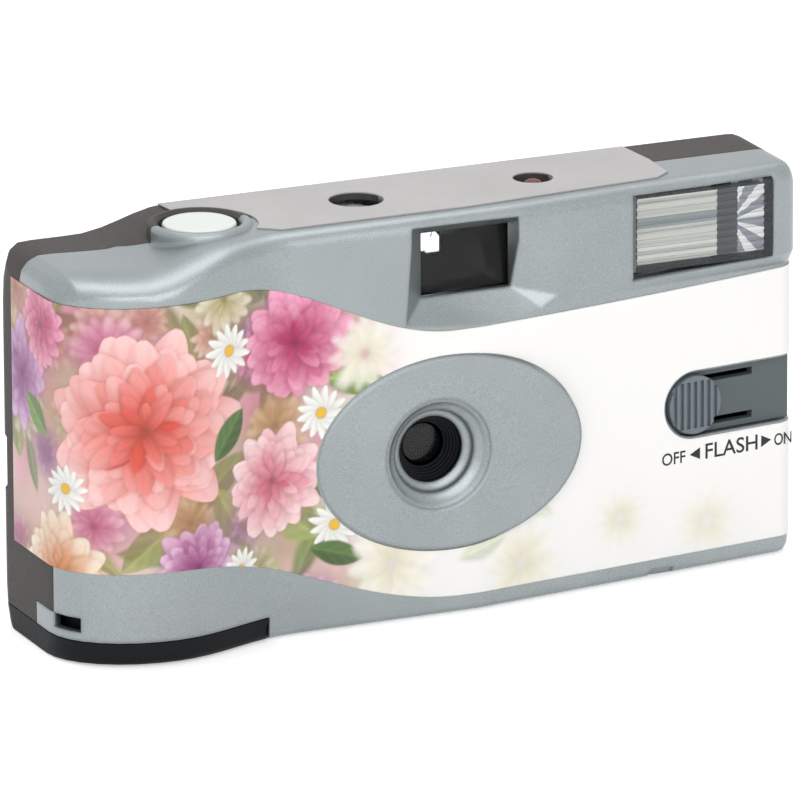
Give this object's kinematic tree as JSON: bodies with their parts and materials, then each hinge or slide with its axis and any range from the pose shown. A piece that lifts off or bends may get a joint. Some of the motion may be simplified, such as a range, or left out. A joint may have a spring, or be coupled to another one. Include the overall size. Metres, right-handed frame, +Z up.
{
  "type": "disposable film camera",
  "caption": "Single-use 35 mm camera with flash: bulged grip, wrap label, lens in a raised oval, sliding flash switch, shutter button, thumb-wheel film advance and hinged film door.",
  "frame": {"origin": "middle of the footprint, on the plane of the base", "axes": "+X to the right as seen from the front, -Y out of the lens, +Z up"},
  "size_m": [0.119, 0.0352, 0.0607],
  "materials": {
    "silver_plastic": "satin metallic moulding",
    "grey_plastic": "fine matte texture",
    "black_plastic": "matte black moulding",
    "print": "printed film label, soft gloss",
    "pale_print": "printed label, matte",
    "clear_acrylic": "clear moulded acrylic",
    "white_plastic": "smooth white moulding",
    "slate_plastic": "ribbed moulding",
    "steel": "bright steel",
    "spring_brass": "rolled brass",
    "reflector": "bright metallised",
    "film": "brown film base",
    "cassette_tin": "painted tinplate",
    "board": "solder-masked laminate",
    "sleeve": "shrunk plastic sleeve",
    "winding": "taped winding",
    "battery_jacket": "printed battery jacket",
    "lamp_orange": "translucent lamp"
  },
  "bodies": {
    "camera_body": {"front_cover": "silver_plastic", "rear_cover": "grey_plastic", "switch_track": "grey_plastic", "chassis": "black_plastic", "lens_bezel": "black_plastic", "cassette_caps": "black_plastic", "finder_tube": "black_plastic", "front_label": "print", "top_label": "pale_print", "lens": "clear_acrylic", "finder_front_lens": "clear_acrylic", "eyepiece_lens": "clear_acrylic", "flash_window": "clear_acrylic", "counter_window": "clear_acrylic", "flash_tube": "clear_acrylic", "door_hinge_pin": "steel", "striker_spring": "steel", "button_spring": "steel", "battery_contacts": "steel", "wheel_pawl": "spring_brass", "switch_contact": "spring_brass", "flash_reflector": "reflector", "film_strip": "film", "cassette_shell": "cassette_tin", "circuit_board": "board", "flash_capacitor": "sleeve", "transformer": "winding", "battery": "battery_jacket", "ready_lamp": "lamp_orange"},
    "film_door": {"film_door": "black_plastic"},
    "shutter_button": {"shutter_button": "white_plastic"},
    "release_lever": {"release_lever": "white_plastic"},
    "striker": {"striker": "steel"},
    "shutter_blade": {"shutter_blade": "black_plastic"},
    "thumb_wheel": {"thumb_wheel": "black_plastic"},
    "cassette_spool": {"cassette_spool": "black_plastic"},
    "film_sprocket": {"film_sprocket": "black_plastic"},
    "counter_disc": {"counter_disc": "white_plastic"},
    "supply_roll": {"supply_spool": "black_plastic", "film_roll": "film"},
    "flash_switch": {"flash_switch": "slate_plastic"}
  },
  "joints": [
    {"name": "button_press", "type": "slide", "parent": "camera_body", "child": "shutter_button", "axis": [0, 0, -1], "range_m": [0, 0.0012], "stiffness_N_per_m": 600, "springref_m": -0.0015, "deforming": ["button_spring"]},
    {"name": "lever_tilt", "type": "hinge", "parent": "camera_body", "child": "release_lever", "pos_m": [-0.0205, -0.0032, 0.0502], "axis": [0, -1, 0], "range_deg": [0, 12.1]},
    {"name": "striker_swing", "type": "hinge", "parent": "camera_body", "child": "striker", "pos_m": [-0.014, -0.005, 0.04], "axis": [0, -1, 0], "range_deg": [0, 20], "stiffness_Nm_per_rad": 0.002, "springref_deg": -22.92},
    {"name": "blade_swing", "type": "hinge", "parent": "camera_body", "child": "shutter_blade", "pos_m": [-0.0075, -0.0042, 0.0325], "axis": [0, 1, 0], "range_deg": [0, 35.5]},
    {"name": "wheel_turn", "type": "hinge", "parent": "camera_body", "child": "thumb_wheel", "pos_m": [-0.04365, -0.00143, 0.0532], "axis": [0, 0, 1], "continuous": true},
    {"name": "spool_turn", "type": "hinge", "parent": "camera_body", "child": "cassette_spool", "pos_m": [-0.04365, -0.00143, 0.0245], "axis": [0, 0, 1], "continuous": true},
    {"name": "sprocket_turn", "type": "hinge", "parent": "camera_body", "child": "film_sprocket", "pos_m": [-0.0235, 0.00752, 0.04], "axis": [0, 0, 1], "continuous": true},
    {"name": "counter_turn", "type": "hinge", "parent": "camera_body", "child": "counter_disc", "pos_m": [-0.01425, 0.00015, 0.057], "axis": [0, 0, 1], "continuous": true},
    {"name": "supply_turn", "type": "hinge", "parent": "camera_body", "child": "supply_roll", "pos_m": [0.039, 0.00469, 0.0245], "axis": [0, 0, 1], "continuous": true},
    {"name": "switch_slide", "type": "slide", "parent": "camera_body", "child": "flash_switch", "axis": [0.9919, 0.127, 0], "range_m": [0, 0.009]},
    {"name": "door_swing", "type": "hinge", "parent": "camera_body", "child": "film_door", "pos_m": [-0.02625, 0, 0.0015], "axis": [0, -1, 0], "range_deg": [0, 90]}
  ],
  "couplings": [
    {"joint": "lever_tilt", "follows": "button_press", "rad_per_m": 174.5},
    {"joint": "blade_swing", "follows": "striker_swing", "ratio": 1.75},
    {"joint": "spool_turn", "follows": "wheel_turn", "ratio": 1},
    {"joint": "sprocket_turn", "follows": "wheel_turn", "ratio": 1.157},
    {"joint": "counter_turn", "follows": "wheel_turn", "ratio": 0.0321},
    {"joint": "supply_turn", "follows": "wheel_turn", "ratio": 0.854}
  ]
}
